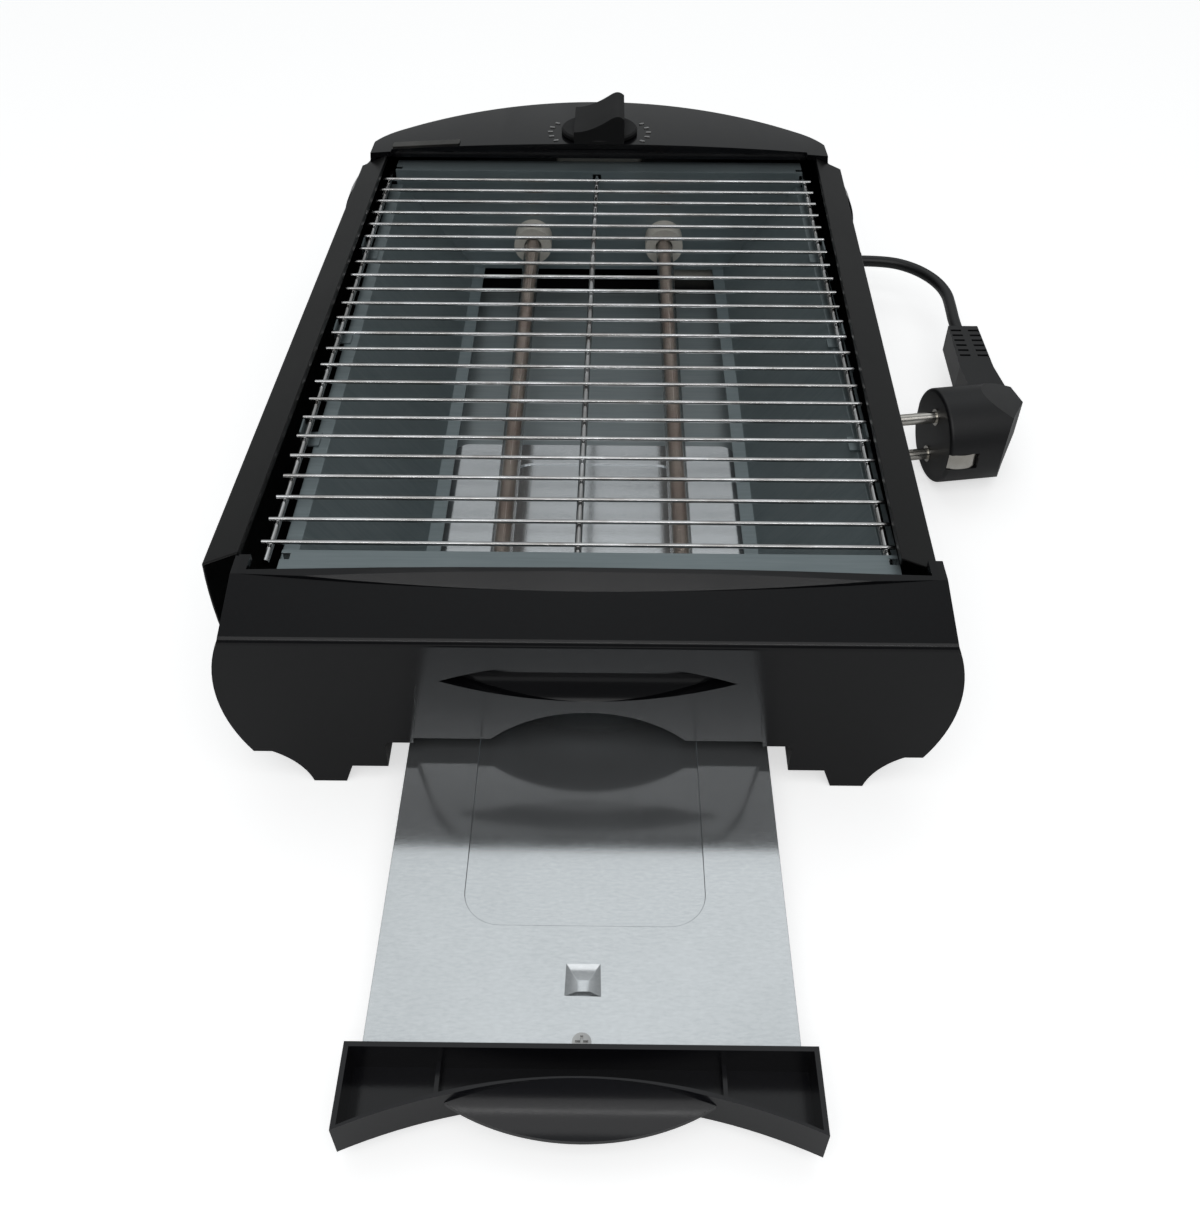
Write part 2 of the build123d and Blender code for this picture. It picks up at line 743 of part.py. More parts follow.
for wall_y, way, ceramic_name in (
    (end_wall_rear_y, 1, "ceramic_holders_rear"),
    (end_wall_front_y, -1, "ceramic_holders_front"),
):
    with BuildPart() as ceramics:
        for side_x in (-tube_x, tube_x):
            with BuildSketch(Plane(origin=(side_x, wall_y, tube_z), x_dir=(0, way, 0), z_dir=(1, 0, 0))):
                with BuildLine():
                    Polyline(
                        (-ceramic_reach, tube_d / 2 + fit_gap),
                        (-ceramic_reach, ceramic_d / 2),
                        (0, ceramic_d / 2),
                        (0, ceramic_neck_d / 2),
                        (steel_t, ceramic_neck_d / 2),
                        (steel_t, ceramic_d / 2 - 1),
                        (steel_t + ceramic_flange, ceramic_d / 2 - 1),
                        (steel_t + ceramic_flange, ceramic_wire_d / 2),
                        (-ceramic_reach + ceramic_seat, ceramic_wire_d / 2),
                        (-ceramic_reach + ceramic_seat, tube_d / 2 + fit_gap),
                        close=True,
                    )
                make_face()
            revolve(axis=Axis((side_x, wall_y, tube_z), (0, 1, 0)))
    save(ceramics.part, ceramic_name)

for hand, side_name in ((-1, "left"), (1, "right")):
    with BuildPart() as quartz_tube:
        with BuildSketch(Plane.XZ.offset(-tube_rear_y)):
            with Locations((hand * tube_x, tube_z)):
                Circle(tube_d / 2)
                Circle(tube_bore / 2, mode=Mode.SUBTRACT)
        extrude(amount=tube_rear_y - tube_front_y)
    save(quartz_tube.part, f"quartz_tube_{side_name}")
    with BuildPart() as heating_coil:
        with BuildSketch(Plane.XZ.offset(-tube_rear_y + pin_head)):
            with Locations((hand * tube_x, tube_z)):
                Circle(coil_d / 2)
                Circle(coil_core / 2, mode=Mode.SUBTRACT)
        extrude(amount=tube_rear_y - tube_front_y - 2 * pin_head)
    save(heating_coil.part, f"heating_coil_{side_name}")

with BuildPart() as tube_pins:
    for side_x in (-tube_x, tube_x):
        for head_y, tip_y, way in ((tube_rear_y, pin_rear_y, 1), (tube_front_y, pin_front_y, -1)):
            with BuildSketch(Plane.XZ.offset(-head_y + way * pin_head)):
                with Locations((side_x, tube_z)):
                    Circle(coil_d / 2)
            extrude(amount=-way * pin_head)
            with BuildSketch(Plane.XZ.offset(-head_y)):
                with Locations((side_x, tube_z)):
                    Circle(pin_wire_d / 2)
            extrude(amount=-(tip_y - head_y))
save(tube_pins.part, "tube_pins")

# Strap that joins the two tubes behind the front wall
with BuildPart() as tube_link:
    with BuildSketch(Plane.XZ.offset(-pin_front_y)):
        with Locations((0, tube_z)):
            Rectangle(2 * tube_x + 2 * pin_wire_d, 2 * pin_wire_d)
    extrude(amount=steel_t)
save(tube_link.part, "tube_link")

# Timer, hung under the top panel, its shaft and the knob
knob_tilt = radians(panel_tilt)
knob_plane = Plane(
    origin=(0, knob_y, panel_height(knob_y)), x_dir=(1, 0, 0), z_dir=(0, sin(knob_tilt), cos(knob_tilt))
)
timer_width = 42.0
timer_length = 22.0
timer_height = 22.0
timer_floor = 2.0
timer_drop = cap_wall + fit_gap
shaft_bottom = timer_drop + timer_height - timer_floor
shaft_top = knob_clearance + knob_disc_h + 5.0

with BuildPart() as timer_body:
    with BuildSketch(knob_plane.offset(-timer_drop)):
        RectangleRounded(timer_width, timer_length, 3)
    extrude(amount=-timer_height)
    with BuildSketch(knob_plane.offset(-timer_drop)):
        Circle(shaft_d / 2 + shaft_fit)
    extrude(amount=-timer_height + timer_floor, mode=Mode.SUBTRACT)
    chamfer(timer_body.faces().sort_by(Axis.Z)[0].edges(), length=1)
save(timer_body.part, "timer_body")

with BuildPart() as knob_shaft:
    with BuildSketch(knob_plane.offset(-shaft_bottom)):
        Circle(shaft_d / 2)
    extrude(amount=shaft_bottom + shaft_top)
save(knob_shaft.part, "knob_shaft")

knob_grip_reach = 18.2
knob_grip_profile = [(-12.0, 5.6), (-6.7, 6.2), (4.3, 11.0), (8.2, 12.8), (12.0, 11.4)]

with BuildPart() as knob:
    with BuildSketch(knob_plane.offset(knob_clearance)):
        Circle(knob_d / 2)
    extrude(amount=knob_disc_h)
    chamfer(knob.faces().sort_by(Axis.Z)[-1].edges(), length=0.8)
    # Grip block with one low and one high shoulder
    with BuildSketch(Plane(knob_plane.location * Location((0, knob_grip_reach, 0), (90, 0, 0)))):
        with BuildLine():
            shoulder = Spline(*[(x, knob_clearance + height) for x, height in knob_grip_profile])
            Polyline(
                shoulder @ 1,
                (knob_grip_width / 2, knob_clearance),
                (-knob_grip_width / 2, knob_clearance),
                shoulder @ 0,
            )
        make_face()
    extrude(amount=2 * knob_grip_reach)
    with BuildSketch(knob_plane.offset(knob_clearance)):
        Circle(shaft_d / 2 + shaft_fit)
    extrude(amount=shaft_top - knob_clearance, mode=Mode.SUBTRACT)
save(knob.part, "knob")

# Dial ticks around the knob, and the bare badge plate
tick_radius = knob_d / 2 + 5.5
tick_length = 2.4
tick_width = 0.9
tick_height = 0.25

with BuildPart() as dial_marks:
    with BuildSketch(knob_plane.offset(-0.1)):
        for start_angle in (150, -30):
            with PolarLocations(tick_radius, 5, start_angle=start_angle, angular_range=60, endpoint=True):
                Rectangle(tick_length, tick_width)
    extrude(amount=tick_height + 0.1)
save(dial_marks.part, "dial_marks")

badge_length = 32.5
badge_width = 6.0
badge_t = 0.6
badge_x = 43.5 - cap_half_width_rear
badge_y = back_wall_y + 4.5

with BuildPart() as badge_plate:
    badge_z = panel_height(badge_y) - panel_rise * (badge_x / panel_half_width) ** 2
    badge_lean = 2 * panel_rise * badge_x / panel_half_width**2
    badge_plane = Plane(
        origin=(badge_x, badge_y, badge_z), x_dir=(1, 0, -badge_lean), z_dir=(badge_lean, panel_slope, 1)
    )
    with BuildSketch(badge_plane):
        RectangleRounded(badge_length, badge_width, 0.8)
    extrude(amount=badge_t)
save(badge_plate.part, "badge_plate")

# Strain relief through the rear cap's right side, terminal block and inner wiring
gland_inner_x = hip_half_width - 6.0
gland_wall_x = 122.6
gland_collar_d = 11.5
gland_tip_d = 8.4
gland_point = (0, gland_y, gland_z)
block_x = 52.0
block_y = gland_y + 3.0
block_size = (30.0, 14.0, 15.0)
floor_z = sill_z + cap_wall
clamp_pitch = 9.0

with BuildPart() as strain_relief:
    with BuildSketch(Plane(origin=gland_point, x_dir=(1, 0, 0), z_dir=(0, -1, 0))):
        with BuildLine():
            Polyline(
                (gland_inner_x, 0),
                (gland_inner_x, gland_neck_d / 2),
                (gland_wall_x, gland_neck_d / 2),
                (gland_wall_x, gland_collar_d / 2),
                (gland_wall_x + 4, gland_collar_d / 2),
                (gland_tip_x, gland_tip_d / 2),
                (gland_tip_x, 0),
                close=True,
            )
        make_face()
    revolve(axis=Axis(gland_point, (1, 0, 0)))
save(strain_relief.part, "strain_relief")

with BuildPart() as terminal_block:
    with BuildSketch(Plane.XY.offset(floor_z)):
        with Locations((block_x, block_y)):
            Rectangle(block_size[0], block_size[1])
    extrude(amount=block_size[2])
    with BuildSketch(Plane.XY.offset(floor_z + block_size[2])):
        with Locations((block_x, block_y)):
            with GridLocations(clamp_pitch, clamp_pitch, 3, 1):
                Circle(2)
    extrude(amount=-3, mode=Mode.SUBTRACT)
save(terminal_block.part, "terminal_block")

inner_cord_d = cord_d - 1
with BuildPart() as inner_cord:
    with BuildSketch(Plane.YZ.offset(block_x + block_size[0] / 2)):
        with Locations((gland_y, gland_z)):
            Circle(inner_cord_d / 2)
    extrude(amount=gland_inner_x - block_x - block_size[0] / 2)
save(inner_cord.part, "inner_cord")

lead_d = 3.0
block_top_z = floor_z + block_size[2]


def lead(points, radii):
    """One insulated lead along a route of straight runs and arcs."""
    with BuildPart() as wire:
        with BuildLine():
            route = FilletPolyline(*points, radius=radii)
        with BuildSketch(Plane(origin=route @ 0, z_dir=route % 0)):
            Circle(lead_d / 2)
        sweep()
    return wire.part


lead_bend = 4.0
lead_run_y = pin_rear_y + 8.0
lead_rise_x = -12.0
lead_foot_z = tube_z + 8.0
timer_floor_z = panel_height(knob_y) - timer_drop - timer_height
lead_left = lead(
    [
        (-tube_x, pin_rear_y, tube_z),
        (-tube_x, lead_run_y, tube_z),
        (lead_rise_x - 6.5, lead_run_y + 2.0, lead_foot_z - 2.0),
        (lead_rise_x, knob_y, lead_foot_z),
        (lead_rise_x, knob_y, timer_floor_z - fit_gap),
    ],
    lead_bend,
)
save(lead_left, "lead_left")
clamp_x = block_x - clamp_pitch
lead_right = lead(
    [
        (tube_x, pin_rear_y, tube_z),
        (tube_x, block_y, tube_z),
        (clamp_x, block_y, tube_z),
        (clamp_x, block_y, block_top_z),
    ],
    lead_bend,
)
save(lead_right, "lead_right")

# Crumb tray: a steel sheet with side flanges, and a moulded front that is open at the top
grip_front_y = front_y - tray_travel - grip_overhang
grip_rear_y = grip_front_y + grip_depth
sheet_front_y = grip_rear_y + 0.2
sheet_rear_y = sheet_front_y + tray_length
sheet_low_z = tray_z - sheet_t
sheet_mid_y = (sheet_front_y + sheet_rear_y) / 2
panel_press_half_width = 36.8
panel_press_front_y = grip_rear_y + 38
panel_press_run = 221.0
stop_y = grip_rear_y + 21.6
stop_size = 9.8
stop_floor = 3.6
stop_depth = 1.6
stop_lean = 1.0
tray_screw_d = 3.0
tray_screw_head_d = 5.3
tray_screw_head_h = 1.5
tray_screw_cross = 3.6
tray_screw_y = grip_rear_y + 2.7
ledge_half_width = 30.0
ledge_depth = 12.0

with BuildPart() as tray_sheet:
    with BuildSketch(Plane.XY.offset(sheet_low_z)):
        with Locations((0, sheet_mid_y)):
            Rectangle(2 * tray_half_width, tray_length)
    extrude(amount=sheet_t)
    rear_corners = tray_sheet.edges().filter_by(Axis.Z).group_by(Axis.Y)[-1]
    fillet(rear_corners, radius=tray_corner_r)
    # Side flanges, which slide on the base plate
    flange_low_z = base_top_z + running_gap
    flange_front_y = sheet_front_y + ledge_depth
    flange_rear_y = sheet_rear_y - tray_corner_r
    with BuildSketch(Plane.XY.offset(sheet_low_z)):
        for side_x in (-tray_half_width + sheet_t / 2, tray_half_width - sheet_t / 2):
            with Locations((side_x, (flange_front_y + flange_rear_y) / 2)):
                Rectangle(sheet_t, flange_rear_y - flange_front_y)
    extrude(amount=flange_low_z - sheet_low_z)
    # Sunken pressing
    with BuildSketch(Plane.XY.offset(sheet_low_z)):
        with Locations((0, panel_press_front_y + panel_press_run / 2)):
            RectangleRounded(2 * panel_press_half_width, panel_press_run, 2 * tray_corner_r)
    extrude(amount=-pressing_depth)
    with BuildSketch(Plane.XY.offset(tray_z)):
        with Locations((0, panel_press_front_y + panel_press_run / 2)):
            RectangleRounded(
                2 * (panel_press_half_width - sheet_t),
                panel_press_run - 2 * sheet_t,
                2 * tray_corner_r - sheet_t,
            )
    extrude(amount=-pressing_depth, mode=Mode.SUBTRACT)
    # Square stop, pressed down to a point near its front edge
    for level_z, mode in ((sheet_low_z, Mode.ADD), (tray_z, Mode.SUBTRACT)):
        with BuildSketch(Plane.XY.offset(level_z)):
            with Locations((0, stop_y)):
                Rectangle(stop_size, stop_size)
        with BuildSketch(Plane.XY.offset(level_z - stop_depth)):
            with Locations((0, stop_y - stop_lean)):
                Rectangle(stop_floor, stop_floor)
        loft(mode=mode)
    with BuildSketch(Plane.XY.offset(tray_z)):
        with Locations((0, tray_screw_y)):
            Circle(tray_screw_d / 2 + fit_gap)
    extrude(amount=-sheet_t, mode=Mode.SUBTRACT)
save(tray_sheet.part, "tray_sheet")


def grip_plan(inset):
    """Plan of the tray front: straight behind and at the ends, hollowed to the front by an arc."""
    half = grip_half_width - inset
    with BuildSketch() as face:
        with BuildLine():
            bow = ThreePointArc(
                (-half, grip_front_y + inset),
                (0, grip_front_y + grip_sag + inset),
                (half, grip_front_y + inset),
            )
            Polyline(bow @ 1, (half, grip_rear_y - inset), (-half, grip_rear_y - inset), bow @ 0)
        make_face()
    return face.sketch


scoop_step = 0.9
scoop_end_y = grip_front_y + grip_sag * (1 - (scoop_half_width / grip_half_width) ** 2)
scoop_back_y = grip_front_y + grip_sag
scoop_dish_y = scoop_back_y + scoop_step
scoop_front_y = grip_front_y + 0.8
scoop_wall = 1.8
scoop_radius = 22.0
rib_x = 38.5
rib_t = 1.2
rib_top_z = 11.5


def dish_section(drop, level_z):
    """Section of the space between the scoop's dish, lowered by a drop, and a level."""
    dish = RadiusArc((scoop_dish_y, grip_top_z - drop), (scoop_front_y, scoop_lip_z - drop), scoop_radius)
    Polyline(
        dish @ 1,
        (scoop_front_y - grip_depth, scoop_lip_z - drop),
        (scoop_front_y - grip_depth, level_z),
        (scoop_dish_y, level_z),
        dish @ 0,
    )


def lens_plan(level_z):
    """Lens-shaped plan of the scoop at a level, from the wall's inner edge to its lip."""
    with BuildSketch(Plane.XY.offset(level_z)) as face:
        with BuildLine():
            lens_back = ThreePointArc(
                (-scoop_half_width, scoop_end_y), (0, scoop_dish_y), (scoop_half_width, scoop_end_y)
            )
            ThreePointArc(lens_back @ 1, (0, scoop_front_y), lens_back @ 0)
        make_face()
    return face.sketch


scoop_top_z = grip_top_z + 5

with BuildPart(mode=Mode.PRIVATE) as scoop:
    # A dished lens in front of the hollowed wall, falling forward to a lip
    extrude(lens_plan(scoop_lip_z - 2 * scoop_wall), amount=grip_top_z - scoop_lip_z + 2 * scoop_wall)
    for drop, level_z in ((0, scoop_top_z), (scoop_wall, 0)):
        with BuildSketch(Plane.YZ.offset(-grip_half_width)):
            with BuildLine():
                dish_section(drop, level_z)
            make_face()
        extrude(amount=2 * grip_half_width, mode=Mode.SUBTRACT)

with BuildPart(mode=Mode.PRIVATE) as scoop_space:
    # The space over the dish, which cuts into the wall's top
    extrude(lens_plan(scoop_lip_z - 2 * scoop_wall), amount=scoop_top_z - scoop_lip_z + 2 * scoop_wall)
    with BuildSketch(Plane.YZ.offset(-grip_half_width)):
        with BuildLine():
            dish_section(0, scoop_top_z)
        make_face()
    extrude(amount=2 * grip_half_width, mode=Mode.INTERSECT)

with BuildPart() as tray_front:
    extrude(grip_plan(0).moved(Location((0, 0, grip_bottom_z))), amount=grip_top_z - grip_bottom_z)
    hollow_plan = grip_plan(grip_wall).moved(Location((0, 0, grip_bottom_z + grip_wall)))
    extrude(hollow_plan, amount=grip_top_z, mode=Mode.SUBTRACT)
    for side_x in (-rib_x, rib_x):
        with BuildSketch(Plane.XY.offset(grip_bottom_z)):
            with Locations((side_x, (scoop_end_y + grip_rear_y) / 2)):
                Rectangle(rib_t, grip_rear_y - scoop_end_y)
        extrude(amount=rib_top_z - grip_bottom_z)
    add(scoop_space.part, mode=Mode.SUBTRACT)
    add(scoop.part)
    # Ledge behind the wall, which carries the sheet, with its screw hole
    with BuildSketch(Plane.XY.offset(base_top_z + sheet_t)):
        with Locations((0, grip_rear_y + ledge_depth / 2)):
            Rectangle(2 * ledge_half_width, ledge_depth)
    extrude(amount=sheet_low_z - base_top_z - sheet_t)
    with BuildSketch(Plane.XY.offset(sheet_low_z)):
        with Locations((0, tray_screw_y)):
            Circle(tray_screw_d / 2 + fit_gap)
    extrude(amount=-sheet_low_z, mode=Mode.SUBTRACT)
save(tray_front.part, "tray_front")

with BuildPart() as tray_screw:
    with BuildSketch(Plane.XY.offset(tray_z)):
        with Locations((0, tray_screw_y)):
            Circle(tray_screw_head_d / 2)
    extrude(amount=tray_screw_head_h)
    with BuildSketch(Plane.XY.offset(tray_z + tray_screw_head_h)):
        with Locations((0, tray_screw_y)):
            Rectangle(tray_screw_cross, sheet_t)
            Rectangle(sheet_t, tray_screw_cross)
    extrude(amount=-sheet_t, mode=Mode.SUBTRACT)
    with BuildSketch(Plane.XY.offset(tray_z)):
        with Locations((0, tray_screw_y)):
            Circle(tray_screw_d / 2)
    extrude(amount=-(tray_z - base_top_z - sheet_t))
save(tray_screw.part, "tray_screw")

# Angled mains plug, lying on its round side with its pins to the left and a little to the front
plug_face_x = 144.0
plug_y = -16.5
plug_turn = 9.0
plug_z = 20.0
plug_d = 40.0
plug_neck_height = 13.0
plug_end_y = 61.0
plug_neck_x = 171.6
plug_neck_half_width = 6.8
rib_pitch = 4.2
groove_depth = 0.8
groove_offset = 4.0
groove_length = 4.8
groove_width = 1.5
rim_round = 1.5
pin_round = 1.8
pin_collar = 1.1
pin_collar_t = 0.7

plug_axis = Vector(cos(radians(plug_turn)), sin(radians(plug_turn)), 0)
plug_floor = Plane(origin=(plug_face_x, plug_y, 0), x_dir=plug_axis, z_dir=(0, 0, 1))
plug_face = Plane(origin=(plug_face_x, plug_y, plug_z), x_dir=(0, 0, 1), z_dir=plug_axis)
plug_side = Plane(origin=plug_face.origin, x_dir=plug_axis, z_dir=plug_axis.cross(Vector(0, 0, 1)))


def from_face(x, y):
    """A point of the plan in the plug's own axes: depth behind its face, and distance from its axis."""
    local = plug_floor.to_local_coords(Vector(x, y, 0))
    return (local.X, local.Y)


neck_low_y = 27.0
plug_back = [(184.0, -3.0), (176.0, -19.0)]
neck_left_x = plug_neck_x - plug_neck_half_width
neck_right_x = plug_neck_x + plug_neck_half_width
plug_radius = plug_d / 2
head_depth = 19.0
head_step = 6.0
head_lean = 4.0
neck_flare = 3.0
shoulder_depth = 10.0
shoulder_half = 24.0
back_depth = 44.0
back_half = 7.0

with BuildPart() as plug_body:
    with BuildSketch(plug_floor.offset(-plug_d / 2)):
        with BuildLine():
            Polyline(
                (0, -plug_d),
                (0, plug_d),
                (head_depth - head_step, plug_d),
                (head_depth - head_step, plug_radius),
                from_face(neck_left_x, neck_low_y - head_step),
                from_face(neck_right_x - neck_flare, neck_low_y),
                *[from_face(x, y) for x, y in plug_back],
                (head_depth + head_lean, -plug_radius),
                (head_depth + head_lean, -plug_d),
                close=True,
            )
        make_face()
    extrude(amount=2 * plug_d)
    with BuildSketch(plug_face):
        Circle(plug_radius)
    extrude(amount=2 * plug_d, mode=Mode.INTERSECT)
    # The head falls away above and below towards its back
    with BuildSketch(plug_side):
        with BuildLine():
            Polyline(
                (-spare, -shoulder_half),
                (-spare, shoulder_half),
                (shoulder_depth, shoulder_half),
                (back_depth, back_half),
                (back_depth, -back_half),
                (shoulder_depth, -shoulder_half),
                close=True,
            )
        make_face()
    extrude(amount=2 * plug_d, both=True, mode=Mode.INTERSECT)
    with BuildSketch(Plane.XY.offset(plug_z - plug_neck_height / 2)):
        with BuildLine():
            Polyline(
                (neck_left_x, plug_end_y),
                (neck_right_x, plug_end_y),
                (neck_right_x, neck_low_y),
                (neck_right_x + neck_flare, 0.0),
                (neck_left_x, 0.0),
                (neck_left_x - neck_flare / 2, neck_low_y),
                close=True,
            )
        make_face()
    extrude(amount=plug_neck_height)
    rim = plug_body.faces().sort_by(Axis.X)[0].edges()
    fillet(rim, radius=rim_round)
    # Grip grooves across the neck, above and below
    groove_rows = [plug_end_y - 4 - i * rib_pitch for i in range(6)]
    for groove_z in (plug_z - plug_neck_height / 2, plug_z + plug_neck_height / 2):
        with BuildSketch(Plane.XY.offset(groove_z - groove_depth)):
            for row_y in groove_rows:
                for groove_x in (plug_neck_x - groove_offset, plug_neck_x + groove_offset):
                    with Locations((groove_x, row_y)):
                        Rectangle(groove_length, groove_width)
        extrude(amount=2 * groove_depth, mode=Mode.SUBTRACT)
    # Seats for the earth clips
    for side in (-1, 1):
        with BuildSketch(plug_floor.offset(plug_z - clip_height / 2 - fit_gap)):
            with Locations((clip_run / 2, side * plug_radius)):
                Rectangle(clip_run, 2 * clip_seat)
        extrude(amount=clip_height + 2 * fit_gap, mode=Mode.SUBTRACT)
save(plug_body.part, "plug_body")

with BuildPart() as plug_pins:
    pin_places = [(-pin_spacing / 2, 0), (pin_spacing / 2, 0)]
    with BuildSketch(plug_face):
        with Locations(*pin_places):
            Circle(pin_d / 2)
    extrude(amount=-pin_length)
    fillet(plug_pins.faces().sort_by(Axis.X)[:2].edges(), radius=pin_round)
    with BuildSketch(plug_face):
        with Locations(*pin_places):
            Circle(pin_d / 2 + pin_collar)
    extrude(amount=-pin_collar_t)
save(plug_pins.part, "plug_pins")

with BuildPart() as earth_clips:
    for side in (-1, 1):
        with BuildSketch(plug_floor.offset(plug_z - clip_height / 2)):
            with BuildLine():
                seat_y = side * (plug_radius - clip_seat)
                spring = ThreePointArc(
                    (fit_gap, seat_y), (clip_run / 2, seat_y + side * clip_bow), (clip_run - fit_gap, seat_y)
                )
                Line(spring @ 1, spring @ 0)
            make_face()
        extrude(amount=clip_height)
save(earth_clips.part, "earth_clips")

# Mains cord, from the strain relief round to the plug, sagging between them
cord_route = [
    (gland_tip_x, gland_y, gland_z),
    (148.6, gland_y, gland_z),
    (161.0, 128.4, 19.6),
    (170.1, 118.3, 18.9),
    (174.3, 105.4, 18.5),
    (173.3, 90.0, 19.0),
    (plug_neck_x, 74.5, plug_z),
    (plug_neck_x, plug_end_y, plug_z),
]


def corner_radii(points):
    """Largest tangent arc that each corner's two runs allow."""
    corners = [Vector(*point) for point in points]
    radii = []
    for before, corner, after in zip(corners, corners[1:], corners[2:]):
        turn = radians((corner - before).get_angle(after - corner))
        radii.append(0.45 * min((corner - before).length, (after - corner).length) / tan(turn / 2))
    return radii


cord_radii = corner_radii(cord_route)

with BuildPart() as mains_cord:
    with BuildLine():
        cord_line = FilletPolyline(*cord_route, radius=cord_radii)
    with BuildSketch(Plane(origin=cord_line @ 0, z_dir=cord_line % 0)):
        Circle(cord_d / 2)
    sweep()
save(mains_cord.part, "mains_cord")

cord_section = pi * cord_d**2 / 4
print("cord radii", [round(radius, 1) for radius in cord_radii])
print("cord length", round(cord_line.length, 1))
volume_ratio = mains_cord.part.volume / cord_section / cord_line.length
print("cord volume over section times length", round(volume_ratio, 4))
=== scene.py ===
import json
import math

import bmesh
import bpy
from mathutils import Matrix, Vector


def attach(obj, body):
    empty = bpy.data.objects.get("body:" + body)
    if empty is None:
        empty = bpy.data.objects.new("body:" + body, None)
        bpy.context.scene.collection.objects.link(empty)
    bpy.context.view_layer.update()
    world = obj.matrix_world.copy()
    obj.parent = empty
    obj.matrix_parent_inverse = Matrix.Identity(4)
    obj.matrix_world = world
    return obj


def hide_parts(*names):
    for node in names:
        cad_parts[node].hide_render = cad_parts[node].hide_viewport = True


# Flat toaster, in metres. +X right, +Y towards the back, +Z up. The origin is on the table, below
# the middle of the toaster with its crumb tray pulled out.

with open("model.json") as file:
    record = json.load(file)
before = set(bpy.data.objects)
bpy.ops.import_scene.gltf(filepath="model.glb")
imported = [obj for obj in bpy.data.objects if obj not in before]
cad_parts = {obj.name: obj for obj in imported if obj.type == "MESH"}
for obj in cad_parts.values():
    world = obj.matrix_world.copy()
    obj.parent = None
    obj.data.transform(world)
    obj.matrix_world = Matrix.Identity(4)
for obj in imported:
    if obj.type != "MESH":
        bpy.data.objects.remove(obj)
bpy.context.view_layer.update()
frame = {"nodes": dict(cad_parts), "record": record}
nodes = frame["nodes"]

scene = bpy.context.scene
MM = 0.001
housing_y = 59.05


def at(x, y, z):
    """A point given in millimetres from the middle of the housing, in the shared frame."""
    return Vector((x, y + housing_y, z)) * MM


# Camera: above and beyond the tray's end, looking down on the rack
sensor_size = 36.0
picture_width = 1200.0
picture_height = 1212.0
camera_place = (5.5, -434.8, 326.6)
camera_yaw = math.radians(0.41)
camera_pitch = math.radians(44.46)
camera_roll = math.radians(0.26)
camera_data = bpy.data.cameras.new("camera")
camera_data.sensor_width = sensor_size
camera_data.sensor_fit = "AUTO"
camera_data.lens = sensor_size * picture_width / picture_height
camera_data.clip_start = 0.01
camera_data.clip_end = 20.0
camera = bpy.data.objects.new("camera", camera_data)
scene.collection.objects.link(camera)
camera.matrix_world = (
    Matrix.Translation(at(*camera_place))
    @ Matrix.Rotation(camera_yaw, 4, "Z")
    @ Matrix.Rotation(math.pi / 2 - camera_pitch, 4, "X")
    @ Matrix.Rotation(camera_roll, 4, "Z")
)
scene.camera = camera


# Mains cord: one smooth line from the strain relief to the plug, as thick as its points say
cord_d = 5.6
cord_route = [
    (135.0, 134.0, 20.0),
    (148.6, 134.0, 20.0),
    (161.0, 128.4, 19.6),
    (170.1, 118.3, 18.9),
    (174.3, 105.4, 18.5),
    (173.3, 90.0, 19.0),
    (171.6, 74.5, 20.0),
    (171.6, 61.0, 20.0),
]
cord_curve = bpy.data.curves.new("mains_cord_line", "CURVE")
cord_curve.dimensions = "3D"
cord_curve.resolution_u = 24
cord_curve.bevel_depth = 1.0
cord_curve.bevel_resolution = 8
cord_line = cord_curve.splines.new("NURBS")
cord_line.points.add(len(cord_route) - 1)
for control, place in zip(cord_line.points, cord_route):
    control.co = (*at(*place), 1.0)
    control.radius = cord_d / 2 * MM
cord_line.order_u = 3
cord_line.use_endpoint_u = True
cord = bpy.data.objects.new("mains_cord_sheath", cord_curve)
scene.collection.objects.link(cord)
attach(cord, "housing")
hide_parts("mains_cord")


# Materials: the colour mix node's sockets are reached by their place in its lists
mix_amount = 0
mix_first = 6
mix_second = 7
mix_result = 2


